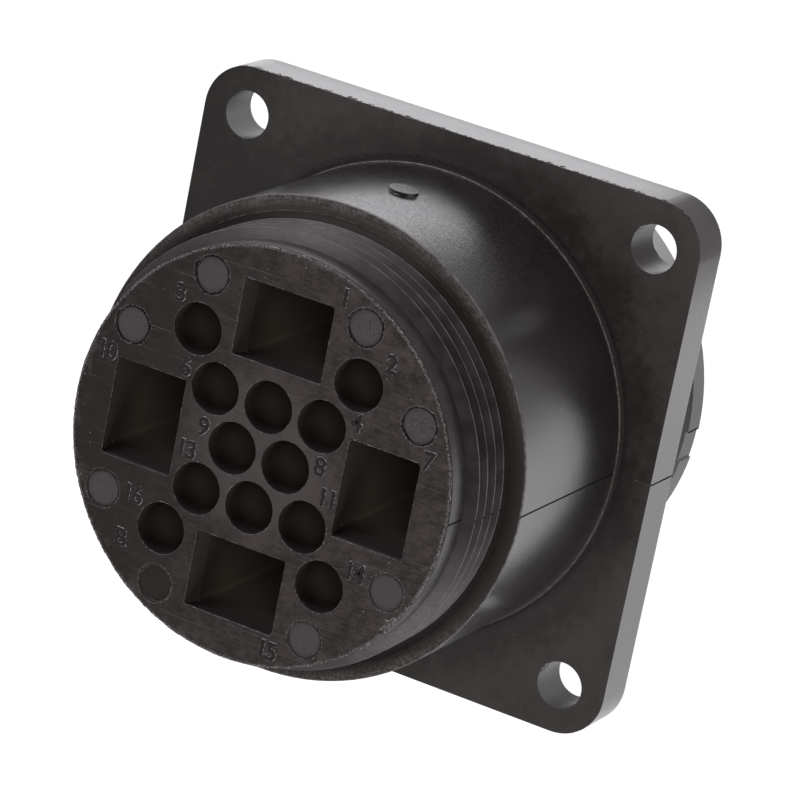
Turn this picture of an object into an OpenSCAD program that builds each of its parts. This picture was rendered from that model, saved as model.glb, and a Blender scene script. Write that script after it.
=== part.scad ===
// Circular panel mount connector: the empty receptacle housing, one moulding in black thermoplastic.
// A square flange bolts to a panel. Behind it are a plain barrel and a neck that carries an accessory thread;
// in front of it is a hollow shell that takes the mating plug. Contacts load from the rear face into the cavities.
// Millimetres. Origin at the centre of the flange's front face, +Z along the axis to the rear (wire) face,
// +X and +Y along the flange's edges.

/* [Flange] */
// Spacing of the four bolt holes, the same both ways
bolt_pitch = 38.7; // [37:0.1:46]
// Bolt hole diameter
bolt_hole_d = 4.1; // [3:0.1:5]
// Bolt hole centre to the flange's edge, also the radius of its corners
bolt_edge = 4.15; // [3.6:0.05:6]
// Flange thickness
flange_t = 4.25; // [3:0.05:6]

/* [Rear body] */
// Barrel diameter
barrel_d = 40.2; // [38.5:0.1:42]
// Barrel length behind the flange
barrel_len = 17.4; // [12:0.1:24]
// Fillet where the barrel rises from the flange
barrel_fillet = 0.2; // [0.1:0.05:0.5]
// Width of the raised lip round the barrel's shoulder
lip_w = 1.25; // [0.6:0.05:2]
// Height of that lip
lip_h = 0.15; // [0.05:0.05:0.4]
// Neck diameter: the pilot at the rear face and the root of the thread
neck_d = 34.6; // [33.6:0.1:36]
// Neck length from the barrel's shoulder to the rear face
neck_len = 7.35; // [5:0.05:12]
// Chamfer at the rear face's edge
neck_chamfer = 0.15; // [0.05:0.05:0.6]

/* [Moulding pad on the barrel] */
// Pad diameter
pad_d = 2.5; // [1.5:0.1:4]
// Height of its flat top above the barrel
pad_h = 0.28; // [0.1:0.02:0.6]
// Distance of its centre behind the flange
pad_z = 9.3; // [4:0.1:10]
// Its angle round the axis, from +X
pad_angle = 88; // [0:1:359]

/* [Coupling shell] */
// Length of the shell in front of the flange
shell_len = 14; // [11:0.1:20]
// Shell diameter behind its coupling collar
shell_d = 37.2; // [36:0.1:38.2]
// Shell inner diameter
shell_bore_d = 32.4; // [31.6:0.1:33.4]
// Diameter of the coupling collar at the shell's rim
collar_d = 39; // [38.4:0.1:40]
// Length of the collar along the axis
collar_len = 3.1; // [2:0.1:6]
// Length of the slope at the collar's back
collar_slope = 0.9; // [0.3:0.1:1.6]
// Number of gaps in the collar that let the plug's lugs past
collar_gaps = 3; // [2:1:4]
// Angle of the first gap round the axis, from +X
gap_start = 80; // [0:1:119]
// Width of each gap, in degrees
gap_angle = 24; // [14:1:36]
// Width of the shallow flat beside the parting line, in degrees
flat_angle = 8; // [4:1:12]
// Depth of that flat
flat_depth = 0.16; // [0.1:0.02:0.4]
// Depth of the polarising keyways in the shell's inner wall
key_depth = 0.9; // [0.5:0.05:1.2]
// Width of the main keyway
key_w_main = 3.4; // [2.8:0.1:4.4]
// Width of the other keyways
key_w = 1.9; // [1.4:0.1:2.6]
// Floor of the shell, measured forward from the flange's front face
floor_z = 0.5; // [0.2:0.1:2]

/* [Round contact cavities] */
// Pitch of the round cavities along a row
cavity_pitch = 4.95; // [4.8:0.05:5.4]
// Spacing of the rows
row_pitch = 4.29; // [4.2:0.01:4.7]
// Bore of a round cavity at the rear face
cavity_d = 4.4; // [4:0.05:4.55]
// Neck inside a cavity that holds a contact's lances
lance_d = 3.4; // [2.6:0.05:3.8]
// Length of that neck
lance_len = 3; // [2:0.1:5]
// Front end of the neck behind the shell's floor
lance_z = 5; // [3:0.1:8]
// Bore in front of the neck, which takes an extraction tool
front_d = 4; // [3.9:0.05:4.3]

/* [Rectangular contact cavities] */
// Short side of a rectangular cavity
power_w = 6.5; // [5.8:0.05:7]
// Long side of its mouth
power_mouth = 8.3; // [8:0.05:8.6]
// Long side below the mouth's lead-in
power_l = 7.3; // [6.6:0.05:7.8]
// Depth of the lead-in at the two short ends
power_lead = 1.6; // [0.8:0.1:3]
// Radius of the upright corners
power_r = 0.4; // [0.2:0.05:0.8]
// Step in from the cavity's walls to its front opening
power_step = 0.75; // [0.4:0.05:1.1]
// Depth of that front opening behind the shell's floor
power_front = 6.5; // [4:0.1:9]
// Wall between a cavity at the top or bottom and the nearest row
web_y = 1.06; // [0.9:0.02:1.4]
// Wall between a cavity at the side and the nearest row
web_x = 0.4; // [0.3:0.02:0.8]

/* [Ejector marks] */
// Diameter of the eight ejector marks in the rear face
mark_d = 2.9; // [2:0.1:3.2]
// Depth of the marks
mark_depth = 0.12; // [0.04:0.02:0.3]
// Distance of the marks from the axis
mark_ring = 15.05; // [14.8:0.05:15.3]
// Angle of a mark from the nearest cavity's centre line
mark_angle = 28; // [26:0.5:30]

/* [Hidden] */
$fa = 3;
$fs = 0.35;
eps = 0.01;
flange_w = bolt_pitch + 2 * bolt_edge;
shoulder_z = flange_t + barrel_len;
rear_z = shoulder_z + neck_len;
rim_z = -shell_len;
cavity_r = cavity_d / 2;
power_y = row_pitch + cavity_r + web_y + power_w / 2;
power_x = cavity_pitch + cavity_r + web_x + power_w / 2;
key_angles = [170, 232, 286, 23];
row_ends = [-1, 1];

// Square plate with round corners that share the bolt holes' centres
module flange_plate() {
    h = bolt_pitch / 2;
    translate([-h, -flange_w / 2, 0]) cube([bolt_pitch, flange_w, flange_t]);
    translate([-flange_w / 2, -h, 0]) cube([flange_w, bolt_pitch, flange_t]);
    for (x = [-h, h], y = [-h, h])
        translate([x, y, 0]) cylinder(r = bolt_edge, h = flange_t);
}

// Turned outside behind the flange: barrel with its fillet, lipped shoulder and neck
module rear_body() {
    rotate_extrude() {
        polygon([
            [0, eps], [barrel_d / 2, eps], [barrel_d / 2, shoulder_z], [barrel_d / 2 - lip_w, shoulder_z],
            [barrel_d / 2 - lip_w, shoulder_z - lip_h], [neck_d / 2, shoulder_z - lip_h],
            [neck_d / 2, rear_z - neck_chamfer], [neck_d / 2 - neck_chamfer, rear_z], [0, rear_z]
        ]);
        translate([barrel_d / 2, flange_t]) difference() {
            translate([-eps, -eps]) square(barrel_fillet + eps);
            translate([barrel_fillet, barrel_fillet]) circle(r = barrel_fillet);
        }
    }
}

// Round flat-topped pad that the mould leaves on the barrel's side
module barrel_pad() {
    rotate([0, 0, pad_angle]) translate([barrel_d / 2 - pad_d / 2, 0, flange_t + pad_z])
        rotate([0, 90, 0]) cylinder(d = pad_d, h = pad_d / 2 + pad_h);
}

// Turned outside in front of the flange: shell and coupling collar
module front_shell() {
    collar_back = rim_z + collar_len;
    translate([0, 0, rim_z]) cylinder(d = shell_d, h = shell_len + eps);
    difference() {
        rotate_extrude()
            polygon([
                [0, rim_z], [collar_d / 2, rim_z], [collar_d / 2, collar_back - collar_slope],
                [shell_d / 2, collar_back], [0, collar_back]
            ]);
        // gaps that let the lugs of the plug's coupling ring past
        for (i = [0 : collar_gaps - 1])
            rotate([0, 0, gap_start + i * 360 / collar_gaps - gap_angle / 2])
                sector(gap_angle, shell_d / 2 - eps);
        // shallow flats beside the mould's parting line
        for (a = [0, 180])
            rotate([0, 0, a - flat_angle]) sector(flat_angle, collar_d / 2 - flat_depth);
    }
}

// Part ring for cutting the collar, from the given radius outward
module sector(angle, r_in) {
    rotate_extrude(angle = angle)
        translate([r_in, rim_z - eps])
            square([collar_d / 2 - r_in + 1, collar_len + 2 * eps]);
}

// Hollow of the shell with its polarising keyways
module shell_hollow() {
    depth = shell_len - floor_z;
    translate([0, 0, rim_z - eps]) cylinder(d = shell_bore_d, h = depth + eps);
    keyway(90, key_w_main, depth);
    for (a = key_angles) keyway(a, key_w, depth);
}

// One straight groove along the shell's inner wall
module keyway(angle, w, depth) {
    rotate([0, 0, angle])
        translate([shell_bore_d / 2 - 2, -w / 2, rim_z - eps])
            cube([key_depth + 2, w, depth + eps]);
}

// Round cavity: bore from the rear, lance neck, tool bore to the shell's floor
module round_cavity() {
    neck_z = -floor_z + lance_z;
    translate([0, 0, neck_z + lance_len]) cylinder(d = cavity_d, h = rear_z - neck_z - lance_len + eps);
    translate([0, 0, neck_z - eps]) cylinder(d = lance_d, h = lance_len + 2 * eps);
    translate([0, 0, -floor_z - eps]) cylinder(d = front_d, h = lance_z + eps);
}

// Upright block with round corners, long side along X
module upright(l, w, r, z0, z1) {
    translate([-l / 2 + r, -w / 2, z0]) cube([l - 2 * r, w, z1 - z0]);
    translate([-l / 2, -w / 2 + r, z0]) cube([l, w - 2 * r, z1 - z0]);
    for (x = [-l / 2 + r, l / 2 - r], y = [-w / 2 + r, w / 2 - r])
        translate([x, y, z0]) cylinder(r = r, h = z1 - z0);
}

// Rectangular cavity: lead-in at the short ends, straight walls, smaller opening to the shell's floor
module power_cavity() {
    step_z = -floor_z + power_front;
    upright(power_l, power_w, power_r, step_z, rear_z + eps);
    upright(power_l - 2 * power_step, power_w - 2 * power_step, power_r, -floor_z - eps, step_z + eps);
    rotate([90, 0, 0]) translate([0, 0, -power_w / 2])
        linear_extrude(height = power_w)
            polygon([
                [-power_mouth / 2, rear_z + eps], [power_mouth / 2, rear_z + eps],
                [power_l / 2, rear_z - power_lead], [-power_l / 2, rear_z - power_lead]
            ]);
}

// Centres of the twelve round cavities, in five rows
module at_round_cavities() {
    for (sy = row_ends) {
        for (i = row_ends) translate([1.5 * i * cavity_pitch, 2 * sy * row_pitch, 0]) children();
        for (i = [-1 : 1]) translate([i * cavity_pitch, sy * row_pitch, 0]) children();
    }
    for (i = row_ends) translate([i * cavity_pitch / 2, 0, 0]) children();
}

// Shallow rounds left by the mould's ejector pins
module ejector_marks() {
    for (q = [0, 90, 180, 270], s = row_ends)
        rotate([0, 0, q + s * mark_angle])
            translate([mark_ring, 0, rear_z - mark_depth]) cylinder(d = mark_d, h = mark_depth + eps);
}

module housing() {
    color([0.09, 0.09, 0.095])
    difference() {
        union() {
            flange_plate();
            rear_body();
            barrel_pad();
            front_shell();
        }
        shell_hollow();
        at_round_cavities() round_cavity();
        for (s = row_ends) {
            translate([0, s * power_y, 0]) power_cavity();
            translate([s * power_x, 0, 0]) rotate([0, 0, 90]) power_cavity();
        }
        for (x = [-bolt_pitch / 2, bolt_pitch / 2], y = [-bolt_pitch / 2, bolt_pitch / 2])
            translate([x, y, -eps]) cylinder(d = bolt_hole_d, h = flange_t + 2 * eps);
        ejector_marks();
    }
}

housing();
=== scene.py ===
import math
import bmesh
import bpy
from mathutils import Matrix, Vector, noise


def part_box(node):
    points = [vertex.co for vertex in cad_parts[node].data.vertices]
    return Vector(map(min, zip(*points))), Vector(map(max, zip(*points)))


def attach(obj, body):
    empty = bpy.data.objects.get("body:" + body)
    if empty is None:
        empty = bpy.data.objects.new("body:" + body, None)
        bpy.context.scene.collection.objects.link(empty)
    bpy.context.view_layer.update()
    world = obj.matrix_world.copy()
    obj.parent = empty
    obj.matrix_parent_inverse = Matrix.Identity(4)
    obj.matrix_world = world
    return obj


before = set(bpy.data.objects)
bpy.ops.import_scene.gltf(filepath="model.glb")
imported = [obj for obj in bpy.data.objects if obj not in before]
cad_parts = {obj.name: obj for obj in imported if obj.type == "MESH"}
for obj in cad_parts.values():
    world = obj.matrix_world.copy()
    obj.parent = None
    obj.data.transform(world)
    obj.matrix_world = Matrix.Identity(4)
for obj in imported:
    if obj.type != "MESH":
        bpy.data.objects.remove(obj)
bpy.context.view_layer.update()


# Housing: the whole receptacle, one injection moulding in black thermoplastic.
# The mould leaves a fine grain on the barrel and flange, turned lines on the neck and a brushed
# rear face. Its edges are ragged with flash and worn pale, with painted highlights on some, and the
# cavities are dark inside, with painted light and shade on their walls and painted shade on the flange.
MM = 0.001
housing_low, housing_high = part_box("housing")
rear_z = housing_high.z
flange_t = 4.25 * MM
shoulder_z = 21.65 * MM
barrel_r = 20.1 * MM
neck_r = 17.3 * MM
mark_depth = 0.12 * MM
mark_ring_r = 15.05 * MM
mark_spread = math.radians(28)


def add_node(material, kind, inputs, **settings):
    """Adds a shader node, sets its options and fills its inputs with plain values or links"""
    tree = material.node_tree
    made = tree.nodes.new("ShaderNode" + kind)
    for name, value in settings.items():
        setattr(made, name, value)
    for key, value in inputs.items():
        if isinstance(value, bpy.types.NodeSocket):
            tree.links.new(value, made.inputs[key])
        else:
            made.inputs[key].default_value = value
    return made


def new_material(name):
    """A material with an empty node tree and its output node"""
    material = bpy.data.materials.new(name)
    material.use_nodes = True
    material.node_tree.nodes.clear()
    return material, add_node(material, "OutputMaterial", {})


def millimetres(material):
    """Object coordinates in millimetres"""
    place = add_node(material, "TexCoord", {}).outputs["Object"]
    return add_node(material, "Mapping", {"Vector": place, "Scale": (1 / MM, 1 / MM, 1 / MM)}).outputs[0]


def part(material, vector, axis):
    """One of a vector's three parts, X, Y or Z"""
    return add_node(material, "SeparateXYZ", {"Vector": vector}).outputs[axis]


def axis_radius(material, place):
    """Distance from the connector's axis"""
    flat = add_node(material, "Mapping", {"Vector": place, "Scale": (1, 1, 0)}).outputs[0]
    return add_node(material, "VectorMath", {0: flat}, operation="LENGTH").outputs["Value"]


def noise_value(material, place, scale, detail):
    """Grey noise with a number of cells to the millimetre"""
    return add_node(material, "TexNoise", {"Vector": place, "Scale": scale, "Detail": detail}).outputs["Fac"]


def ramp(material, value, low, high, out_low=0.0, out_high=1.0):
    """Smooth step of a value between two limits"""
    return add_node(
        material, "MapRange",
        {"Value": value, "From Min": low, "From Max": high, "To Min": out_low, "To Max": out_high},
        interpolation_type="SMOOTHSTEP",
    ).outputs[0]


def outside(material, share):
    """One where a share is nought, and nought where it is full"""
    return ramp(material, share, 1.0, 0.0)


def dimmed(material, share, level):
    """One, falling to a level where a share is full"""
    return ramp(material, share, 0.0, 1.0, 1.0, level)


def blend(material, factor, first, second, kind="RGBA"):
    """Mix by a factor of two colours, or of two values or vectors by their kind"""
    made = add_node(material, "Mix", {"Factor": factor}, data_type="FLOAT" if kind == "VALUE" else kind)
    for slot, value in (("A", first), ("B", second)):
        socket = next(s for s in made.inputs if s.name == slot and s.type == kind)
        if isinstance(value, bpy.types.NodeSocket):
            material.node_tree.links.new(value, socket)
        else:
            socket.default_value = (*value, 1.0) if kind == "RGBA" else value
    return next(s for s in made.outputs if s.type == kind)


def product(material, *values):
    """All the values multiplied together"""
    result = values[0]
    for value in values[1:]:
        result = add_node(material, "Math", {0: result, 1: value}, operation="MULTIPLY").outputs[0]
    return result


def total(material, *values):
    """The sum of all the values"""
    result = values[0]
    for value in values[1:]:
        result = add_node(material, "Math", {0: result, 1: value}, operation="ADD").outputs[0]
    return result


def near(material, value, middle, reach):
    """One where a value lies within reach of a middle, and nought elsewhere"""
    return add_node(material, "Math", {0: value, 1: middle, 2: reach}, operation="COMPARE").outputs[0]


def polar(turn, reach):
    """A point in plan, by its turn about the connector's axis and its distance from it"""
    return Vector((math.cos(turn), math.sin(turn), 0)) * reach


def rounded_edges(material, width):
    """A normal that rounds off edges, and a mask of where it does"""
    normal = add_node(material, "Bevel", {"Radius": width}, samples=6).outputs[0]
    plain = add_node(material, "NewGeometry", {}).outputs["Normal"]
    facing = add_node(material, "VectorMath", {0: normal, 1: plain}, operation="DOT_PRODUCT").outputs["Value"]
    return normal, ramp(material, facing, 0.995, 0.90)


def line_noise(material, place, turn, spread, detail):
    """Noise drawn out into fine lines that run one way across the rear face"""
    turned_place = add_node(
        material, "Mapping", {"Vector": place, "Rotation": (0, 0, math.radians(turn)), "Scale": spread}
    ).outputs[0]
    return noise_value(material, turned_place, 1.0, detail)


def turned_lines(material, place, radius, fineness):
    """Fine rings round the axis, slightly wavy"""
    height = part(material, place, "Z")
    drift = product(material, noise_value(material, place, 0.3, 2.0), 0.35)
    ring_place = add_node(material, "CombineXYZ", {"X": radius, "Y": height, "Z": drift}).outputs[0]
    return noise_value(material, ring_place, fineness, 2.0)


def plan_distance(material, place, centres):
    """Distance in plan to the nearest of some centres that repeat in all four quarters"""
    flat = add_node(material, "Mapping", {"Vector": place, "Scale": (1, 1, 0)}).outputs[0]
    folded = add_node(material, "VectorMath", {0: flat}, operation="ABSOLUTE").outputs["Vector"]
    ways = [
        add_node(material, "VectorMath", {0: folded, 1: centre}, operation="DISTANCE").outputs["Value"]
        for centre in centres
    ]
    nearest = ways[0]
    for way in ways[1:]:
        nearest = add_node(material, "Math", {0: nearest, 1: way}, operation="MINIMUM").outputs[0]
    return nearest


body_black = (0.0115, 0.0100, 0.0091)
body_soft_black = (0.0420, 0.0374, 0.0366)
barrel_black = (0.0052, 0.0045, 0.0041)
junction_black = (0.0170, 0.0150, 0.0137)
face_dark_grey = (0.0215, 0.0178, 0.0167)
face_grey = (0.0580, 0.0493, 0.0497)
face_pale_grey = (0.0800, 0.0725, 0.0725)
shoulder_black = (0.0170, 0.0149, 0.0140)
shoulder_painted_light_grey = (0.0470, 0.0418, 0.0405)
lip_dark_grey = (0.0280, 0.0245, 0.0232)
lip_sheen_grey = (0.1450, 0.1335, 0.1318)
mark_shadow_black = (0.0045, 0.0038, 0.0036)
wall_painted_shade_black = (0.0050, 0.0042, 0.0034)
wall_painted_light_black = (0.0240, 0.0202, 0.0164)
deep_painted_light_grey = (0.0660, 0.0555, 0.0445)
edge_wear_and_highlight_grey = (0.170, 0.160, 0.158)
speck_grey = (0.360, 0.350, 0.340)
brush_turn = -14
brush_spread = (0.8, 6.0, 1.0)
scratch_turns = (52, -34)
scratch_spread = (0.12, 11.0, 1.0)
edge_least = 0.03 * MM
edge_most = 0.11 * MM
plastic_relief_depth = 0.012 * MM

# Sizes in millimetres, as the material's nodes read them
rear_mm = rear_z / MM
mark_floor_mm = (rear_z - mark_depth) / MM
flange_mm = flange_t / MM
shoulder_mm = shoulder_z / MM
barrel_mm = barrel_r / MM
neck_mm = neck_r / MM
pad_top_mm = 20.25
pad_low_mm = 8.0
shell_floor_mm = -0.5
bolt_reach_mm = 19.35
bolt_mm = 2.05
lip_inner_mm = 18.85
mark_shadow_ring_mm = 1.87
mark_fleck_mm = 1.99
painted_light_depth_mm = 6.0

# Where each finish lies, by height, distance from the axis and the way that the surface faces
black_plastic, plastic_out = new_material("black_plastic")
place_mm = millimetres(black_plastic)
side_x = part(black_plastic, place_mm, "X")
side_y = part(black_plastic, place_mm, "Y")
height_mm = part(black_plastic, place_mm, "Z")
radius_mm = axis_radius(black_plastic, place_mm)
plain_normal = add_node(black_plastic, "NewGeometry", {}).outputs["Normal"]
facing_y = part(black_plastic, plain_normal, "Y")
facing_z = part(black_plastic, plain_normal, "Z")
on_rear_face = ramp(black_plastic, height_mm, mark_floor_mm - 0.04, mark_floor_mm - 0.02)
on_neck = ramp(black_plastic, height_mm, shoulder_mm - 0.25, shoulder_mm - 0.20)
on_rim = product(
    black_plastic, ramp(black_plastic, radius_mm, neck_mm - 0.22, neck_mm - 0.17),
    ramp(black_plastic, height_mm, rear_mm - 0.25, rear_mm - 0.19),
)
on_shoulder = product(
    black_plastic, on_neck, ramp(black_plastic, height_mm, shoulder_mm + 0.55, shoulder_mm + 0.25)
)
on_flange = ramp(black_plastic, radius_mm, barrel_mm + 0.5, barrel_mm + 1.1)
on_barrel = outside(black_plastic, total(black_plastic, on_flange, on_neck))
on_barrel_top = product(black_plastic, on_barrel, ramp(black_plastic, side_y, 14.0, 18.5, 0.10, 1.0))
upright = ramp(black_plastic, product(black_plastic, facing_z, facing_z), 0.3, 0.1)
bolt_way = plan_distance(black_plastic, place_mm, [Vector((bolt_reach_mm, bolt_reach_mm, 0))])
out_of_bolt = ramp(black_plastic, bolt_way, bolt_mm + 0.15, bolt_mm + 0.30)
on_flange_side = product(black_plastic, upright, on_flange, out_of_bolt)
on_upper_side = product(black_plastic, on_flange_side, ramp(black_plastic, facing_y, 0.3, 0.7))
in_bolt = product(black_plastic, upright, on_flange, outside(black_plastic, out_of_bolt))
mark_angles = (mark_spread, math.pi / 2 - mark_spread)
mark_centres = [polar(turn, mark_ring_r / MM) for turn in mark_angles]
mark_way = plan_distance(black_plastic, place_mm, mark_centres)
in_junction = product(
    black_plastic, ramp(black_plastic, radius_mm, barrel_mm + 0.50, barrel_mm + 0.35),
    ramp(black_plastic, height_mm, flange_mm + 0.35, flange_mm + 0.20),
    ramp(black_plastic, height_mm, flange_mm - 0.25, flange_mm - 0.05),
)
on_pad = product(
    black_plastic, ramp(black_plastic, radius_mm, pad_top_mm, pad_top_mm + 0.08),
    ramp(black_plastic, height_mm, pad_low_mm, pad_low_mm + 0.5),
)
in_cavity = product(
    black_plastic, ramp(black_plastic, radius_mm, neck_mm - 0.35, neck_mm - 0.45),
    ramp(black_plastic, height_mm, rear_mm - 0.22, rear_mm - 0.32),
    ramp(black_plastic, height_mm, shell_floor_mm - 0.05, shell_floor_mm + 0.05),
)
out_of_cavity = outside(black_plastic, in_cavity)

# Stains, grain and tool marks
mottle = noise_value(black_plastic, place_mm, 0.35, 5.0)
blotch = noise_value(black_plastic, place_mm, 1.3, 3.0)
crumbs = noise_value(black_plastic, place_mm, 4.0, 4.0)
fine_texture = noise_value(black_plastic, place_mm, 5.0, 1.0)
grain = noise_value(black_plastic, place_mm, 7.0, 2.0)
brushed = line_noise(black_plastic, place_mm, brush_turn, brush_spread, 4.0)
turned = turned_lines(black_plastic, place_mm, radius_mm, 13.0)
stains = total(black_plastic, mottle, blotch)
streak = total(black_plastic, brushed, mottle)
speckle = product(black_plastic, ramp(black_plastic, fine_texture, 0.58, 0.42), on_barrel_top)
scratch_lines = [
    ramp(black_plastic, line_noise(black_plastic, place_mm, turn, scratch_spread, 1.0), 0.68, 0.76)
    for turn in scratch_turns
]

# Worn edges, thin pale lines that are partly wear and partly painted highlight, the flash along the flange's
# upper side, and pale specks
edge_width = ramp(black_plastic, grain, 0.3, 0.75, edge_least, edge_most)
bevel_normal, on_edge = rounded_edges(black_plastic, edge_width)
off_barrel = outside(black_plastic, product(
    black_plastic, ramp(black_plastic, radius_mm, barrel_mm - 0.3, barrel_mm - 0.1),
    ramp(black_plastic, height_mm, flange_mm + 0.3, flange_mm + 0.5),
    ramp(black_plastic, height_mm, shoulder_mm - 0.4, shoulder_mm - 0.6),
))
worn_edge = product(
    black_plastic, on_edge, out_of_cavity, outside(black_plastic, in_junction),
    outside(black_plastic, on_rim), off_barrel, ramp(black_plastic, blotch, 0.35, 0.65, 0.25, 1.0),
    dimmed(black_plastic, on_flange, 0.2), ramp(black_plastic, mark_way, 1.55, 1.70),
)
# Thin pale lines on the shoulder lip: worn at its outer edge, and a painted highlight on its inner step
# towards the top
lip_step_highlight = product(
    black_plastic, near(black_plastic, radius_mm, lip_inner_mm - 0.08, 0.05),
    ramp(black_plastic, side_y, 12.0, 17.0),
)
lip_edge_line = near(black_plastic, radius_mm, barrel_mm - 0.05, 0.05)
lip_wear_and_highlight_lines = product(
    black_plastic, on_shoulder, total(black_plastic, lip_step_highlight, lip_edge_line),
    ramp(black_plastic, blotch, 0.35, 0.6, 0.15, 0.8),
)
# Painted highlight: a thin pale line round the barrel's foot where it meets the flange, strongest towards the
# top
junction_painted_highlight = product(
    black_plastic, in_junction, near(black_plastic, radius_mm, barrel_mm + 0.055, 0.035),
    ramp(black_plastic, crumbs, 0.35, 0.60, 0.20, 1.0), ramp(black_plastic, side_y, -8.0, 12.0, 0.22, 0.8),
)
rim_wander = total(black_plastic, radius_mm, product(black_plastic, crumbs, 0.25))
rim_dots = product(
    black_plastic, on_rear_face, near(black_plastic, rim_wander, neck_mm - 0.06, 0.07),
    ramp(black_plastic, grain, 0.46, 0.58),
)
mark_wander = total(
    black_plastic, mark_way, product(black_plastic, blotch, 0.40), product(black_plastic, crumbs, 0.30)
)
# Painted shadow: a dark ring round each ejector mark, strongest on the marks towards +Y
mark_shadow_ring = product(
    black_plastic, on_rear_face, near(black_plastic, mark_wander, mark_shadow_ring_mm, 0.07),
    ramp(black_plastic, side_y, -6.0, 4.0, 0.35, 1.0),
)
mark_flecks = product(
    black_plastic, on_rear_face, near(black_plastic, mark_wander, mark_fleck_mm, 0.04),
    ramp(black_plastic, grain, 0.47, 0.56, 0.0, 0.7),
)
front_edge_dots = product(
    black_plastic, on_flange_side, ramp(black_plastic, height_mm, 0.30, 0.15),
    ramp(black_plastic, grain, 0.48, 0.58),
)
thin_lines = total(black_plastic, lip_wear_and_highlight_lines, front_edge_dots, junction_painted_highlight, rim_dots, mark_flecks)
wear_and_highlight_share = add_node(black_plastic, "Math", {0: worn_edge, 1: thin_lines}, operation="MAXIMUM").outputs[0]
flash_depth = total(
    black_plastic, ramp(black_plastic, blotch, 0.45, 0.75, 0.02, 0.55),
    ramp(black_plastic, crumbs, 0.40, 0.70, 0.0, 0.28),
)
flash_height = total(black_plastic, height_mm, flash_depth)
in_flash = product(
    black_plastic, on_upper_side, ramp(black_plastic, flash_height, flange_mm + 0.02, flange_mm + 0.06)
)
edge_normal = blend(black_plastic, in_flash, bevel_normal, (0.0, 0.0, 1.0), "VECTOR")
specks = add_node(black_plastic, "TexVoronoi", {"Vector": place_mm, "Scale": 1.1}, feature="F1")
speck_share = product(
    black_plastic, ramp(black_plastic, specks.outputs["Distance"], 0.065, 0.035), out_of_cavity,
    ramp(black_plastic, specks.outputs["Color"], 0.45, 0.80, 0.0, 0.8),
    ramp(black_plastic, on_rear_face, 0.0, 1.0, 0.40, 1.0),
)

# Colour: barrel and flange, rear face, shoulder lip, then the details laid over them
# Painted shade in the flange's tone: darker close round the barrel and towards its left edge, lighter further
# out, laid over its stains
stain_and_shade_tone = total(
    black_plastic, stains, product(black_plastic, speckle, -0.30),
    product(black_plastic, on_flange, ramp(black_plastic, radius_mm, 21.5, 25.5, -0.25, 0.38)),
    product(black_plastic, on_flange, ramp(black_plastic, side_x, -23.0, -13.0, -0.8, 0.0)),
)
stain_and_shade_share = ramp(black_plastic, stain_and_shade_tone, 0.50, 1.60)
stained_and_shaded_colour = blend(black_plastic, stain_and_shade_share, body_black, body_soft_black)
body_colour = blend(black_plastic, product(black_plastic, on_barrel, 0.85), stained_and_shaded_colour, barrel_black)
# Rub marks on the rear face, with painted light that makes them lighter towards its right side
rubbed = product(
    black_plastic, ramp(black_plastic, side_x, -17.0, 6.0, 0.15, 1.1),
    ramp(black_plastic, total(black_plastic, streak, blotch, crumbs), 1.45, 2.55),
    ramp(black_plastic, radius_mm, 9.0, 4.0, 1.0, 1.6),
)
rub_and_light_colour = blend(black_plastic, rubbed, face_dark_grey, face_grey)
scratch_share = total(black_plastic, *scratch_lines, ramp(black_plastic, radius_mm, 9.0, 3.0, 0.0, 0.6))
face_colour = blend(black_plastic, scratch_share, rub_and_light_colour, face_pale_grey)
# Painted sheen on the shoulder lip: lighter towards its top and, less so, its bottom, along its turned
# streaks
lip_painted_sheen = total(
    black_plastic, ramp(black_plastic, side_y, 4.0, 19.0, 0.05, 1.0),
    ramp(black_plastic, side_y, -4.0, -17.0, 0.0, 0.8),
)
lip_streaks = ramp(black_plastic, total(black_plastic, turned, grain, crumbs), 1.30, 1.75, 0.15, 1.1)
lip_tone = blend(black_plastic, product(black_plastic, lip_painted_sheen, lip_streaks), lip_dark_grey, lip_sheen_grey)
on_lip = ramp(black_plastic, radius_mm, lip_inner_mm, barrel_mm - 0.1)
# Painted light: the groove inside the lip is lighter at the top of the neck
groove_painted_light_tone = blend(black_plastic, ramp(black_plastic, side_y, 15.5, 18.5), shoulder_black, shoulder_painted_light_grey)
shoulder_colour = blend(black_plastic, on_lip, groove_painted_light_tone, lip_tone)
outer_colour = blend(black_plastic, on_shoulder, body_colour, shoulder_colour)
rim_wear = product(
    black_plastic, ramp(black_plastic, radius_mm, neck_mm - 1.5, neck_mm - 0.2),
    ramp(black_plastic, stains, 0.98, 1.2, 0.0, 0.5),
)
rim_colour = blend(black_plastic, rim_wear, face_colour, face_pale_grey)
mark_colour = blend(black_plastic, mark_shadow_ring, rim_colour, mark_shadow_black)
zone_colour = blend(black_plastic, on_rear_face, outer_colour, mark_colour)
seat_colour = blend(black_plastic, in_junction, zone_colour, junction_black)
pad_colour = blend(black_plastic, product(black_plastic, on_pad, crumbs, 0.20), seat_colour, edge_wear_and_highlight_grey)
# Painted light and shade on the cavity walls: walls that face +Y are painted darker, the others lighter, and
# all grow lighter with depth, standing in for light that does not reach there
painted_shade_wall_share = ramp(black_plastic, facing_y, 0.2, 0.9)
wall_light_and_shade_colour = blend(black_plastic, painted_shade_wall_share, wall_painted_light_black, wall_painted_shade_black)
painted_light_depth_share = ramp(black_plastic, height_mm, rear_mm - 0.6, rear_mm - painted_light_depth_mm)
cavity_painted_light_colour = blend(black_plastic, painted_light_depth_share, wall_light_and_shade_colour, deep_painted_light_grey)
open_colour = blend(black_plastic, in_cavity, pad_colour, cavity_painted_light_colour)
wear_and_highlight_colour = blend(black_plastic, wear_and_highlight_share, open_colour, edge_wear_and_highlight_grey)
plastic_colour = blend(black_plastic, speck_share, wear_and_highlight_colour, speck_grey)

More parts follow.
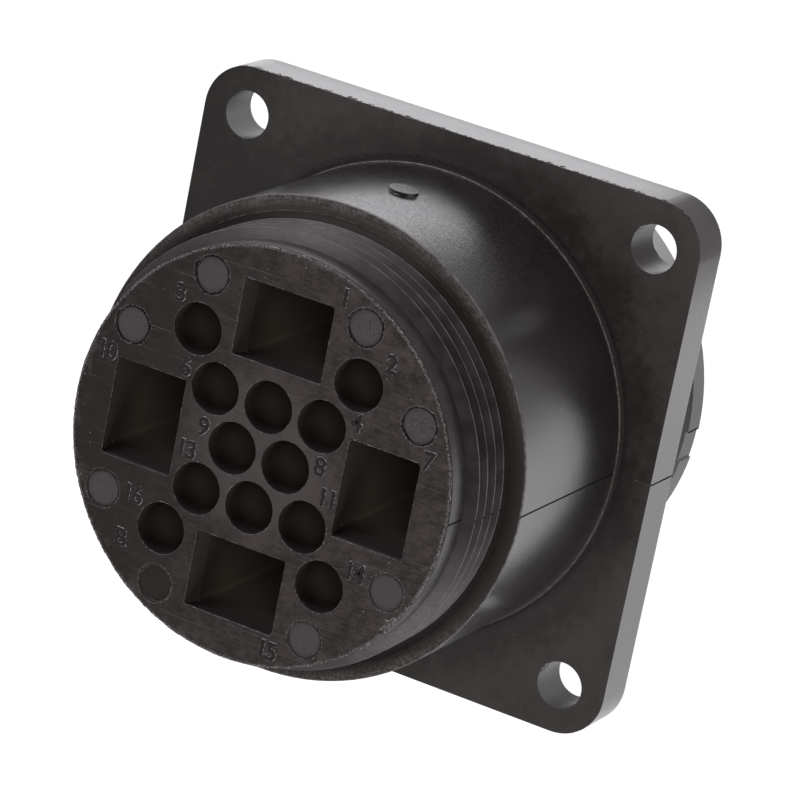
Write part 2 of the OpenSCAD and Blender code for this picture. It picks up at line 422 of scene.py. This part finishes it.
# Gloss: the moulded skin is a coat, thin on flat faces and gone where the plastic is rubbed or torn
body_roughness = ramp(black_plastic, mottle, 0.25, 0.75, 0.26, 0.33)
neck_roughness = ramp(black_plastic, streak, 0.75, 1.25, 0.50, 0.40)
zone_roughness = blend(black_plastic, on_neck, body_roughness, neck_roughness, "VALUE")
dull_junction = product(black_plastic, in_junction, 0.88)
dull_rim = total(black_plastic, on_rim, in_flash)
dull = add_node(black_plastic, "Math", {0: dull_junction, 1: dull_rim}, operation="MAXIMUM").outputs[0]
dull_roughness = blend(black_plastic, dull, zone_roughness, 0.80, "VALUE")
plastic_roughness = blend(black_plastic, in_cavity, dull_roughness, 0.95, "VALUE")
top_fade = product(black_plastic, on_upper_side, ramp(black_plastic, height_mm, 1.8, 0.3, 0.2, 0.36))
upper_neck = product(black_plastic, on_neck, ramp(black_plastic, side_y, 4.0, 14.0, 0.65, 1.0))
side_coat = ramp(black_plastic, side_y, -20.0, 12.0, 0.70, 1.0)
coat_weight = product(
    black_plastic, outside(black_plastic, on_rear_face), out_of_cavity, outside(black_plastic, dull),
    dimmed(black_plastic, speckle, 0.62), dimmed(black_plastic, in_bolt, 0.18),
    outside(black_plastic, top_fade), dimmed(black_plastic, upper_neck, 0.4),
    dimmed(black_plastic, on_pad, 0.6), ramp(black_plastic, facing_z, 0.5, 0.9, 1.0, 0.66),
    dimmed(black_plastic, on_flange_side, side_coat), dimmed(black_plastic, on_shoulder, 0.5),
)

# Relief: grain, brushed and turned lines, but none inside the cavities
body_relief = product(black_plastic, grain, ramp(black_plastic, on_neck, 0.0, 1.0, 0.8, 0.3))
face_relief = product(black_plastic, brushed, on_rear_face)
ring_relief = product(black_plastic, turned, ramp(black_plastic, on_neck, 0.0, 1.0, 0.25, 0.7))
barrel_relief = product(black_plastic, fine_texture, on_barrel_top, 0.6)
all_relief = total(black_plastic, body_relief, barrel_relief, face_relief, ring_relief)
relief = product(black_plastic, all_relief, out_of_cavity)
plastic_normal = add_node(
    black_plastic, "Bump",
    {"Height": relief, "Strength": 1.0, "Distance": plastic_relief_depth, "Normal": edge_normal},
).outputs[0]
plastic_shader = add_node(
    black_plastic, "BsdfPrincipled",
    {
        "Base Color": plastic_colour, "Roughness": plastic_roughness, "IOR": 1.5, "Specular IOR Level": 0.5,
        "Coat Weight": coat_weight, "Coat Roughness": 0.22, "Coat IOR": 3.0,
        "Normal": plastic_normal, "Coat Normal": plastic_normal,
    },
)
black_plastic.node_tree.links.new(plastic_shader.outputs[0], plastic_out.inputs["Surface"])
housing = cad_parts["housing"]
housing.material_slots[0].material = black_plastic


# Accessory thread: the fine right-hand thread on the neck, moulded with the housing.
# A sixty degree ridge winds from the shoulder up to the plain pilot, where it fades out.
# Its crests are rubbed pale, with a painted highlight that is weaker towards the top.
thread_crest_r = 18.22 * MM
thread_pitch = 1.411 * MM
thread_crest_flat = 0.13 * MM
thread_round = 0.04 * MM
thread_edge_width = 0.05 * MM
thread_relief_depth = 0.008 * MM
thread_bury_r = 17.0 * MM
thread_flank = math.tan(math.radians(30))
thread_top_z = 26.56 * MM
thread_top_angle = math.radians(180)
thread_turns = 3.85
steps_per_turn = 120
fade_steps = 10


def finish_mesh(bm, name, material, smooth_angle):
    """Makes the bmesh an object of the housing's body, with one material and smooth shading"""
    bmesh.ops.recalc_face_normals(bm, faces=bm.faces)
    mesh = bpy.data.meshes.new(name)
    bm.to_mesh(mesh)
    bm.free()
    mesh.materials.append(material)
    mesh.shade_smooth()
    mesh.set_sharp_from_angle(angle=math.radians(smooth_angle))
    piece = bpy.data.objects.new(name, mesh)
    bpy.context.scene.collection.objects.link(piece)
    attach(piece, "root")


thread_dark = (0.0108, 0.0094, 0.0092)
thread_pale = (0.0250, 0.0219, 0.0232)
crest_wear_and_highlight_grey = (0.175, 0.165, 0.165)
thread_plastic, thread_out = new_material("thread_plastic")
place_mm = millimetres(thread_plastic)
radius_mm = axis_radius(thread_plastic, place_mm)
thread_y = part(thread_plastic, place_mm, "Y")
cloud = noise_value(thread_plastic, place_mm, 0.5, 4.0)
fine = noise_value(thread_plastic, place_mm, 6.0, 2.0)
turned = turned_lines(thread_plastic, place_mm, radius_mm, 5.0)
edge_normal = rounded_edges(thread_plastic, thread_edge_width)[0]
# Pale crests: wear and a painted highlight, weaker towards +Y
crest_wear_and_highlight = product(
    thread_plastic,
    ramp(thread_plastic, radius_mm, thread_crest_r / MM - 0.05, thread_crest_r / MM - 0.02),
    ramp(thread_plastic, total(thread_plastic, fine, cloud), 0.75, 1.2, 0.35, 1.0),
    ramp(thread_plastic, thread_y, 3.0, 13.0, 1.0, 0.7),
)
flank_colour = blend(thread_plastic, ramp(thread_plastic, cloud, 0.35, 0.65), thread_dark, thread_pale)
thread_colour = blend(thread_plastic, crest_wear_and_highlight, flank_colour, crest_wear_and_highlight_grey)
thread_relief = total(thread_plastic, turned, fine)
thread_roughness = ramp(thread_plastic, fine, 0.2, 0.8, 0.42, 0.54)
thread_normal = add_node(
    thread_plastic, "Bump",
    {"Height": thread_relief, "Strength": 1.0, "Distance": thread_relief_depth, "Normal": edge_normal},
).outputs[0]
thread_shader = add_node(
    thread_plastic, "BsdfPrincipled",
    {
        "Base Color": thread_colour, "Roughness": thread_roughness, "IOR": 1.5,
        "Specular IOR Level": 0.5, "Normal": thread_normal,
    },
)
thread_plastic.node_tree.links.new(thread_shader.outputs[0], thread_out.inputs["Surface"])

half_crest = thread_crest_flat / 2
half_base = half_crest + (thread_crest_r - thread_bury_r) * thread_flank
thread_profile = [
    (thread_bury_r, -half_base),
    (thread_crest_r - thread_round, -half_crest - thread_round * thread_flank),
    (thread_crest_r, -half_crest + thread_round),
    (thread_crest_r, half_crest - thread_round),
    (thread_crest_r - thread_round, half_crest + thread_round * thread_flank),
    (thread_bury_r, half_base),
]
thread_start_z = thread_top_z - thread_turns * thread_pitch
thread_start = Matrix.Rotation(thread_top_angle - thread_turns * math.tau, 4, "Z")
bm = bmesh.new()
profile_verts = [bm.verts.new(thread_start @ Vector((r, 0, thread_start_z + z))) for r, z in thread_profile]
profile_loop = profile_verts + profile_verts[:1]
profile_edges = [bm.edges.new(ends) for ends in zip(profile_loop, profile_loop[1:])]
thread_steps = round(thread_turns * steps_per_turn)
bmesh.ops.spin(
    bm, geom=profile_verts + profile_edges, cent=(0, 0, 0), axis=(0, 0, 1),
    dvec=(0, 0, thread_pitch / steps_per_turn), angle=thread_turns * math.tau, steps=thread_steps,
)
bm.verts.ensure_lookup_table()
for vert in bm.verts:
    steps_left = thread_steps - vert.index // len(thread_profile)
    reach = min(1.0, steps_left / fade_steps)
    radius = math.hypot(vert.co.x, vert.co.y)
    faded = thread_bury_r + (radius - thread_bury_r) * reach
    vert.co.x *= faded / radius
    vert.co.y *= faded / radius
bmesh.ops.edgeloop_fill(bm, edges=[edge for edge in bm.edges if edge.is_boundary])
finish_mesh(bm, "accessory_thread", thread_plastic, smooth_angle=40)


# Cavity numbers: raised figures on the rear face beside the cavities, moulded with the housing.
# They are thin and rough black plastic, pale along their sloped edges, partly worn and partly a painted
# highlight.
figure_h = 1.56 * MM
figure_rise = 0.05 * MM
figure_slope = 0.07 * MM
figure_spread = 0.025 * MM
figure_cap_share = 0.73
figure_spacing = 0.82
figure_black = (0.016, 0.0142, 0.0142)
figure_wear_and_highlight_pale = (0.26, 0.247, 0.243)
merge_reach = 0.001 * MM
figure_places = {
    "1": (4.85, 15.0), "2": (9.9, 11.05), "3": (-9.5, 10.95), "4": (7.9, 5.5), "6": (-7.85, 5.15),
    "7": (14.65, 4.5), "8": (5.5, 1.0), "9": (-5.3, 0.85), "10": (-15.15, 4.3), "11": (6.7, -1.35),
    "13": (-6.45, -1.45), "14": (10.25, -6.45), "15": (4.0, -15.35), "16": (-10.5, -6.7),
    "B": (-10.85, -10.6),
}


def rough_plastic(name, colour, edge_colour, pale_limits, roughness, relief_depth):
    """Black plastic with a lumpy surface, whose slopes are pale in patches: wear, and on the figures also a
    painted highlight
    """
    material, out = new_material(name)
    place = millimetres(material)
    lumps = noise_value(material, place, 8.0, 3.0)
    patches = noise_value(material, place, 4.0, 3.0)
    normal = add_node(material, "NewGeometry", {}).outputs["Normal"]
    slope = ramp(material, part(material, normal, "Z"), 0.97, 0.80)
    worn = product(material, slope, ramp(material, patches, *pale_limits))
    tone = blend(material, worn, colour, edge_colour)
    gloss = ramp(material, lumps, 0.3, 0.7, roughness - 0.08, roughness + 0.08)
    bump = add_node(material, "Bump", {"Height": lumps, "Strength": 1.0, "Distance": relief_depth}).outputs[0]
    shader = add_node(
        material, "BsdfPrincipled",
        {"Base Color": tone, "Roughness": gloss, "IOR": 1.6, "Specular IOR Level": 0.8, "Normal": bump},
    )
    material.node_tree.links.new(shader.outputs[0], out.inputs["Surface"])
    return material


def add_outline(bm, curve, place):
    """Makes a curve or text a mesh, moves it to its place and adds it to the bmesh"""
    outline = bpy.data.objects.new(curve.name, curve)
    bpy.context.scene.collection.objects.link(outline)
    bpy.context.view_layer.update()
    mesh = bpy.data.meshes.new_from_object(outline.evaluated_get(bpy.context.evaluated_depsgraph_get()))
    mesh.transform(place)
    bm.from_mesh(mesh)
    bpy.data.meshes.remove(mesh)
    bpy.data.objects.remove(outline)
    bpy.data.curves.remove(curve)


figure_plastic = rough_plastic(
    "figure_plastic", figure_black, figure_wear_and_highlight_pale, pale_limits=(0.43, 0.60), roughness=0.36,
    relief_depth=0.02 * MM,
)
bm = bmesh.new()
for figure, (x, y) in figure_places.items():
    text = bpy.data.curves.new("figure_" + figure, "FONT")
    text.body = figure
    text.size = figure_h / figure_cap_share
    text.space_character = figure_spacing
    text.align_x = "CENTER"
    text.align_y = "CENTER"
    text.bevel_depth = figure_slope
    text.offset = figure_spread
    text.resolution_u = 4
    add_outline(bm, text, Matrix.Translation((x * MM, y * MM, rear_z + figure_rise - figure_slope)))
bmesh.ops.remove_doubles(bm, verts=bm.verts, dist=merge_reach)
finish_mesh(bm, "cavity_numbers", figure_plastic, smooth_angle=30)


# Ejector marks: the smooth floors of the eight shallow rounds in the rear face.
# The mould's pins pressed there as the housing was pushed out, and left ragged rims.
mark_lift = 0.008 * MM
mark_disc_r = 1.40 * MM
mark_ragged = 0.06 * MM
mark_ragged_period = 0.55 * MM
mark_segments = 96
pin_grey = (0.061, 0.055, 0.056)
pin_pale_grey = (0.082, 0.075, 0.077)
pin_dull_black = (0.027, 0.0235, 0.023)
dull_mark_angle = math.radians(-118)
mark_places = [
    polar(turn + side, mark_ring_r)
    for turn in (0, math.pi / 2, math.pi, 3 * math.pi / 2) for side in (-mark_spread, mark_spread)
]
pin_plastic, pin_out = new_material("pin_mark_plastic")
pin_place = millimetres(pin_plastic)
pin_cloud = noise_value(pin_plastic, pin_place, 1.5, 4.0)
dull_place = polar(dull_mark_angle, mark_ring_r / MM)
dull_place.z = rear_mm
dull_way = add_node(
    pin_plastic, "VectorMath", {0: pin_place, 1: dull_place}, operation="DISTANCE"
).outputs["Value"]
pin_tone = blend(pin_plastic, pin_cloud, pin_grey, pin_pale_grey)
pin_colour = blend(pin_plastic, ramp(pin_plastic, dull_way, 2.2, 1.8), pin_tone, pin_dull_black)
pin_roughness = ramp(pin_plastic, pin_cloud, 0.3, 0.7, 0.26, 0.34)
pin_shader = add_node(
    pin_plastic, "BsdfPrincipled", {"Base Color": pin_colour, "Roughness": pin_roughness, "IOR": 1.5}
)
pin_plastic.node_tree.links.new(pin_shader.outputs[0], pin_out.inputs["Surface"])
bm = bmesh.new()
for place in mark_places:
    centre = Vector((place.x, place.y, rear_z - mark_depth + mark_lift))
    disc = bmesh.ops.create_circle(
        bm, cap_ends=True, segments=mark_segments, radius=mark_disc_r, matrix=Matrix.Translation(centre)
    )["verts"]
    for vert in disc:
        outward = (vert.co - centre).normalized()
        vert.co += outward * mark_ragged * noise.noise(vert.co / mark_ragged_period)
finish_mesh(bm, "ejector_marks", pin_plastic, smooth_angle=30)


# Burrs: thin ragged beads of plastic round the ejector marks and along the cavities' mouths, and
# torn lines across two of the marks. They were squeezed out between the mould's parts.
burr_r = 0.048 * MM
burr_ring_r = 1.56 * MM
burr_ring_sink = 0.042 * MM
torn_line_r = 0.075 * MM
mouth_burr_r = 0.040 * MM
burr_usual = 0.55
burr_swing = 0.9
burr_most = 1.3
swell_period = 0.25 * MM
spread_period = 1.1 * MM
burr_step = 0.12 * MM
burr_sink = 0.015 * MM
burr_black = (0.022, 0.0198, 0.0198)
burr_pale = (0.22, 0.21, 0.205)
cavity_r = 2.2 * MM
cavity_pitch = 4.95 * MM
row_pitch = 4.29 * MM
cavity_columns = {2: (-1.5, 1.5), 1: (-1, 0, 1), 0: (-0.5, 0.5), -1: (-1, 0, 1), -2: (-1.5, 1.5)}
power_half = Vector((4.15, 3.25)) * MM
power_cut = 0.25 * MM
power_reach = 10.80 * MM
torn_lines = {
    math.radians(62): [
        [(-1.0, 0.35), (-0.6, 0.15), (-0.7, -0.2)],
        [(0.2, 0.7), (0.25, -0.1), (0.7, -0.25), (1.2, -0.1)],
        [(0.25, -0.1), (0.1, -0.6)],
    ],
    math.radians(28): [
        [(-1.0, -0.2), (-0.35, 0.1), (0.2, 0.35), (0.5, 0.8)],
        [(0.0, 0.2), (0.3, -0.5), (0.6, -0.85)],
        [(0.2, 0.35), (0.6, 0.25), (1.1, 0.15)],
    ],
}


def ring_points(centre, radius, step):
    """Points round a circle in the rear face's plane"""
    count = max(12, round(math.tau * radius / step))
    return [centre + polar(math.tau * index / count, radius) for index in range(count)]


def line_points(corners, step):
    """Points along a row of straight runs"""
    points = []
    for start, end in zip(corners, corners[1:]):
        count = max(1, round((end - start).length / step))
        points += [start.lerp(end, index / count) for index in range(count)]
    return points + [corners[-1]]


def add_beads(bm, name, runs, bead_r, seed, least):
    """Adds thin beads along runs of points, swollen and pinched by noise like moulding flash"""
    beads = bpy.data.curves.new(name, "CURVE")
    beads.dimensions = "3D"
    beads.bevel_depth = bead_r
    beads.bevel_resolution = 1
    beads.use_fill_caps = True
    for points, closed in runs:
        spline = beads.splines.new("POLY")
        spline.points.add(len(points) - 1)
        spline.use_cyclic_u = closed
        for knot, point in zip(spline.points, points):
            swell = noise.noise(point / swell_period + Vector((0, 0, seed)))
            spread = noise.noise(point / spread_period + Vector((seed, 0, 0)))
            width = burr_usual + burr_swing * swell + burr_swing * spread
            knot.co = (*point, 1.0)
            knot.radius = min(burr_most, max(least, width))
    add_outline(bm, beads, Matrix.Identity(4))


burr_plastic = rough_plastic(
    "burr_plastic", burr_black, burr_pale, pale_limits=(0.44, 0.64), roughness=0.36,
    relief_depth=0.012 * MM,
)
burr_height = Vector((0, 0, rear_z - burr_sink))
ring_height = Vector((0, 0, rear_z - burr_ring_sink))
mark_runs = [(ring_points(place + ring_height, burr_ring_r, burr_step), True) for place in mark_places]
torn_runs = []
for angle, lines in torn_lines.items():
    place = polar(angle, mark_ring_r)
    place.z = rear_z - mark_depth
    for line in lines:
        corners = [place + Vector((x, y, 0)) * MM for x, y in line]
        torn_runs.append((line_points(corners, burr_step), False))
bm = bmesh.new()
add_beads(bm, "mark_beads", mark_runs, burr_r, seed=4.7, least=0.15)
add_beads(bm, "torn_beads", torn_runs, torn_line_r, seed=2.6, least=0.35)
finish_mesh(bm, "ejector_mark_burrs", burr_plastic, smooth_angle=60)

mouth_runs = []
for row, columns in cavity_columns.items():
    for column in columns:
        centre = Vector((column * cavity_pitch, row * row_pitch, 0)) + burr_height
        mouth_runs.append((ring_points(centre, cavity_r, burr_step), True))
for turn in (0, 1, 2, 3):
    half_x, half_y = power_half if turn % 2 else power_half.yx
    centre = Matrix.Rotation(turn * math.pi / 2, 3, "Z") @ Vector((power_reach, 0, 0)) + burr_height
    cut_x, cut_y = half_x - power_cut, half_y - power_cut
    quarter = [Vector((cut_x, half_y, 0)), Vector((half_x, cut_y, 0))]
    half = quarter + [Vector((corner.x, -corner.y, 0)) for corner in reversed(quarter)]
    corners = half + [-corner for corner in half] + half[:1]
    mouth_runs.append((line_points([centre + corner for corner in corners], burr_step), False))
bm = bmesh.new()
add_beads(bm, "mouth_beads", mouth_runs, mouth_burr_r, seed=1.9, least=0.1)
finish_mesh(bm, "cavity_mouth_burrs", burr_plastic, smooth_angle=60)


# Rim flash: the ragged skin of plastic round the edge of the rear face, with one torn flake.
# It squeezed out where the mould's halves met, and broke off unevenly.
rim_bead_r = 0.065 * MM
rim_bead_sink = 0.04 * MM
rim_step = 0.10 * MM
rim_flash_r = neck_r - 0.09 * MM
flake_angle = math.radians(-34.5)
flake_size = Vector((1.0, 0.34, 0.08)) * MM
flake_seed = 53
flake_tear = 0.20 * MM
flake_tear_period = 0.30 * MM
flake_grain = 0.06 * MM
flake_grain_period = 0.12 * MM
torn_grey = (0.080, 0.073, 0.072)
torn_pale = (0.42, 0.40, 0.39)
flash_black = (0.030, 0.0275, 0.0275)
flash_pale = (0.36, 0.35, 0.34)
torn_plastic = rough_plastic(
    "torn_plastic", torn_grey, torn_pale, pale_limits=(0.42, 0.58), roughness=0.45,
    relief_depth=0.05 * MM,
)
flash_plastic = rough_plastic(
    "flash_plastic", flash_black, flash_pale, pale_limits=(0.42, 0.60), roughness=0.38,
    relief_depth=0.012 * MM,
)
rim_points = ring_points(Vector((0, 0, rear_z - rim_bead_sink)), rim_flash_r, rim_step)
bm = bmesh.new()
add_beads(bm, "rim_beads", [(rim_points, True)], rim_bead_r, seed=8.3, least=0.2)
finish_mesh(bm, "rim_flash", flash_plastic, smooth_angle=60)

bm = bmesh.new()
flake_place = (
    Matrix.Rotation(flake_angle, 4, "Z")
    @ Matrix.Translation((rim_flash_r - flake_size.y * 0.7, 0, rear_z - flake_size.z / 4))
    @ Matrix.Rotation(math.pi / 2, 4, "Z") @ Matrix.Diagonal((*flake_size, 1.0))
)
flake = bmesh.ops.create_icosphere(bm, subdivisions=4, radius=1.0, matrix=flake_place)["verts"]
noise.seed_set(flake_seed)
for vert in flake:
    vert.co += flake_tear * noise.noise_vector(vert.co / flake_tear_period)
    vert.co.z += flake_grain * noise.noise(vert.co / flake_grain_period)
    vert.co.z = min(vert.co.z, rear_z + figure_rise)
finish_mesh(bm, "torn_flake", torn_plastic, smooth_angle=60)


# Parting line: the fine seam that the two halves of the mould leave on both sides of the housing.
# On the neck, barrel, flange edge and collar it is a dark strip laid on the surface, painted shade for its
# groove, and on the flange a pale ridge.
seam_w = 0.15 * MM
seam_lift = 0.006 * MM
seam_end_gap = 0.05 * MM
seam_fillet_gap = 0.2 * MM
seam_rim_gap = 0.2 * MM
pilot_low_z = 26.5 * MM
collar_r = 19.5 * MM
collar_flat_z = -11.8 * MM
seam_runs = [
    ((neck_r, pilot_low_z), (neck_r, rear_z - seam_rim_gap)),
    ((barrel_r, flange_t + seam_fillet_gap), (barrel_r, shoulder_z)),
    ((housing_high.x, seam_end_gap), (housing_high.x, flange_t - seam_end_gap)),
    ((collar_r, housing_low.z + seam_end_gap), (collar_r, collar_flat_z)),
]
crest_half = 0.12 * MM
for turns_down in (0.5, 1.5, 2.5, 3.5):
    crest_z = thread_top_z - turns_down * thread_pitch
    seam_runs.append(((thread_crest_r, crest_z - crest_half), (thread_crest_r, crest_z + crest_half)))
ridge_from_r = 21.9 * MM
ridge_to_r = 23.4 * MM
ridge_r = 0.04 * MM
seam_shade_deep_black = (0.003, 0.0026, 0.0025)
seam_shade_soft_black = (0.012, 0.011, 0.0105)
# A dark strip painted as the shade in the seam's groove
seam_painted_shade, seam_out = new_material("seam_painted_shade")
seam_cloud = noise_value(seam_painted_shade, millimetres(seam_painted_shade), 3.0, 3.0)
seam_shade_colour = blend(seam_painted_shade, seam_cloud, seam_shade_deep_black, seam_shade_soft_black)
seam_shader = add_node(
    seam_painted_shade, "BsdfPrincipled",
    {"Base Color": seam_shade_colour, "Roughness": 0.85, "Specular IOR Level": 0.1},
)
seam_painted_shade.node_tree.links.new(seam_shader.outputs[0], seam_out.inputs["Surface"])
bm = bmesh.new()
for side in (1, -1):
    for run in seam_runs:
        ends = [bm.verts.new((side * (r + seam_lift), -side * seam_w / 2, z)) for r, z in run]
        pushed = bmesh.ops.extrude_edge_only(bm, edges=[bm.edges.new(ends)])["geom"]
        far_ends = [part for part in pushed if isinstance(part, bmesh.types.BMVert)]
        bmesh.ops.translate(bm, verts=far_ends, vec=(0, side * seam_w, 0))
finish_mesh(bm, "parting_line", seam_painted_shade, smooth_angle=30)

ridge_runs = []
for side in (1, -1):
    ridge_ends = [Vector((side * r, 0, flange_t)) for r in (ridge_from_r, ridge_to_r)]
    ridge_runs.append((line_points(ridge_ends, burr_step), False))
bm = bmesh.new()
add_beads(bm, "ridge_beads", ridge_runs, ridge_r, seed=6.1, least=0.6)
finish_mesh(bm, "parting_ridge", burr_plastic, smooth_angle=60)


# Floor: a white studio table under the coupling shell's rim, which keeps the housing's shadow.
# It is white to the camera. What the housing mirrors of it carries a painted shadow: dimmer at the right,
# in a patch at the left, towards the camera and close round the housing.
floor_half = 1.5
floor_glow = 0.96
floor_white = (0.20, 0.20, 0.20, 1.0)
mirror_tint = (0.975, 0.970, 1.0)
front_turn = math.radians(52)
front_way = polar(front_turn, 1.0)
side_way = Vector((-front_way.y, front_way.x, 0))
bm = bmesh.new()
bmesh.ops.create_grid(
    bm, x_segments=1, y_segments=1, size=floor_half, matrix=Matrix.Translation((0, 0, housing_low.z))
)
floor_mesh = bpy.data.meshes.new("floor")
bm.to_mesh(floor_mesh)
bm.free()
floor_material, floor_out = new_material("white_floor")
light_path = add_node(floor_material, "LightPath", {})
floor_place = millimetres(floor_material)
front_run, side_run = [
    add_node(floor_material, "VectorMath", {0: floor_place, 1: way}, operation="DOT_PRODUCT").outputs["Value"]
    for way in (front_way, side_way)
]
floor_r = axis_radius(floor_material, floor_place)
# Painted shadow in the glow that reflections see: dim close round the housing and on the right
right_painted_shadow = product(
    floor_material, ramp(floor_material, floor_r, 21.0, 27.0, 0.32, 0.53),
    ramp(floor_material, front_run, 12.0, -20.0, 1.0, 1.6),
    ramp(floor_material, front_run, -19.0, -25.0, 1.0, 0.4),
)
left_painted_shadow = product(
    floor_material, ramp(floor_material, side_run, 8.0, 22.0),
    ramp(floor_material, front_run, 3.0, -9.0),
)
painted_shadow_level = blend(
    floor_material, ramp(floor_material, side_run, -15.0, 6.0), right_painted_shadow,
    dimmed(floor_material, left_painted_shadow, 0.3), "VALUE",
)
# Painted shadow towards the camera's side
front_shadow_edge = total(floor_material, front_run, ramp(floor_material, side_run, -5.0, 8.0, 1.5, -1.0))
mirrored = product(
    floor_material, light_path.outputs["Is Glossy Ray"], painted_shadow_level,
    ramp(floor_material, front_shadow_edge, 27.0, 33.0, 1.0, 0.05),
)
seen = total(
    floor_material, light_path.outputs["Is Camera Ray"], light_path.outputs["Is Transmission Ray"], mirrored
)
glow_strength = product(floor_material, seen, floor_glow)
floor_diffuse = add_node(floor_material, "BsdfDiffuse", {"Color": floor_white})
glow_colour = blend(floor_material, light_path.outputs["Is Glossy Ray"], (1, 1, 1), mirror_tint)
floor_light = add_node(floor_material, "Emission", {"Color": glow_colour, "Strength": glow_strength})
floor_sum = add_node(floor_material, "AddShader", {0: floor_diffuse.outputs[0], 1: floor_light.outputs[0]})
floor_material.node_tree.links.new(floor_sum.outputs[0], floor_out.inputs["Surface"])
floor_mesh.materials.append(floor_material)
floor = bpy.data.objects.new("floor", floor_mesh)
bpy.context.scene.collection.objects.link(floor)


# Light: a dim room that is brighter near the table, two low soft boxes at the sides, a faint high one
# behind that gives the flat faces their sheen, and one by the camera that fills the cavities.
lamp_distance = 0.9
world = bpy.data.worlds.new("studio")
bpy.context.scene.world = world
world.use_nodes = True
world.node_tree.nodes.clear()
room_out = add_node(world, "OutputWorld", {})
room_path = add_node(world, "LightPath", {})
room_side = add_node(world, "TexCoord", {}).outputs["Generated"]
room_level = ramp(world, part(world, room_side, "Z"), 0.05, 0.6, 0.50, 0.06)
room_light = add_node(world, "Background", {"Color": (1.0, 0.95, 0.935, 1.0), "Strength": room_level})
room_white = add_node(world, "Background", {"Color": (1, 1, 1, 1), "Strength": 1.0})
room_mix = add_node(
    world, "MixShader",
    {0: room_path.outputs["Is Camera Ray"], 1: room_light.outputs[0], 2: room_white.outputs[0]},
)
world.node_tree.links.new(room_mix.outputs[0], room_out.inputs["Surface"])


def sky_way(turn, rise):
    """The way from the housing to a place at a turn and a rise"""
    return Vector((math.cos(rise) * math.cos(turn), math.cos(rise) * math.sin(turn), math.sin(rise)))


def soft_lamp(name, turn, rise, size, power, colour, shines=True):
    """A square soft box that faces the housing from a turn and a rise in degrees"""
    lamp = bpy.data.lights.new(name, "AREA")
    lamp.shape = "SQUARE"
    lamp.size = size
    lamp.energy = power
    lamp.color = colour
    way = sky_way(math.radians(turn), math.radians(rise))
    box = bpy.data.objects.new(name, lamp)
    box.location = way * lamp_distance
    box.rotation_euler = way.to_track_quat("Z", "Y").to_euler()
    box.visible_glossy = shines
    bpy.context.scene.collection.objects.link(box)


soft_lamp("left_lamp", 120, 22, 0.5, 4.2, (1.0, 0.90, 0.98))
soft_lamp("right_lamp", -65, 20, 0.5, 4.2, (1.0, 0.95, 0.97))
soft_lamp("top_lamp", 217.6, 60, 0.55, 0.05, (1.0, 0.93, 0.93))
soft_lamp("fill_lamp", 37.6, 60, 0.5, 4.6, (1.0, 0.96, 0.95), shines=False)


# Camera: the photograph's view of the rear face, from its upper right with the frame turned.
# A long lens looks at the middle of the flange, and a small slide sets the framing.
view_turn = math.radians(37.589)
view_rise = math.radians(59.862)
view_roll = math.radians(-112.251)
view_distance = 417.87 * MM
view_lens = 224.05
view_target = Vector((0, 0, flange_t))
view_shift_right = -0.215 * MM
view_shift_up = -0.104 * MM
backward = sky_way(view_turn, view_rise)
camera_data = bpy.data.cameras.new("camera")
camera_data.lens = view_lens
camera_data.sensor_width = 36.0
camera_data.clip_start = 0.01
camera = bpy.data.objects.new("camera", camera_data)
turned_frame = backward.to_track_quat("Z", "Y").to_matrix() @ Matrix.Rotation(view_roll, 3, "Z")
slide = turned_frame @ Vector((view_shift_right, view_shift_up, view_distance))
camera.matrix_world = Matrix.Translation(view_target + slide) @ turned_frame.to_4x4()
bpy.context.scene.collection.objects.link(camera)
bpy.context.scene.camera = camera
bpy.context.scene.view_settings.view_transform = "Standard"
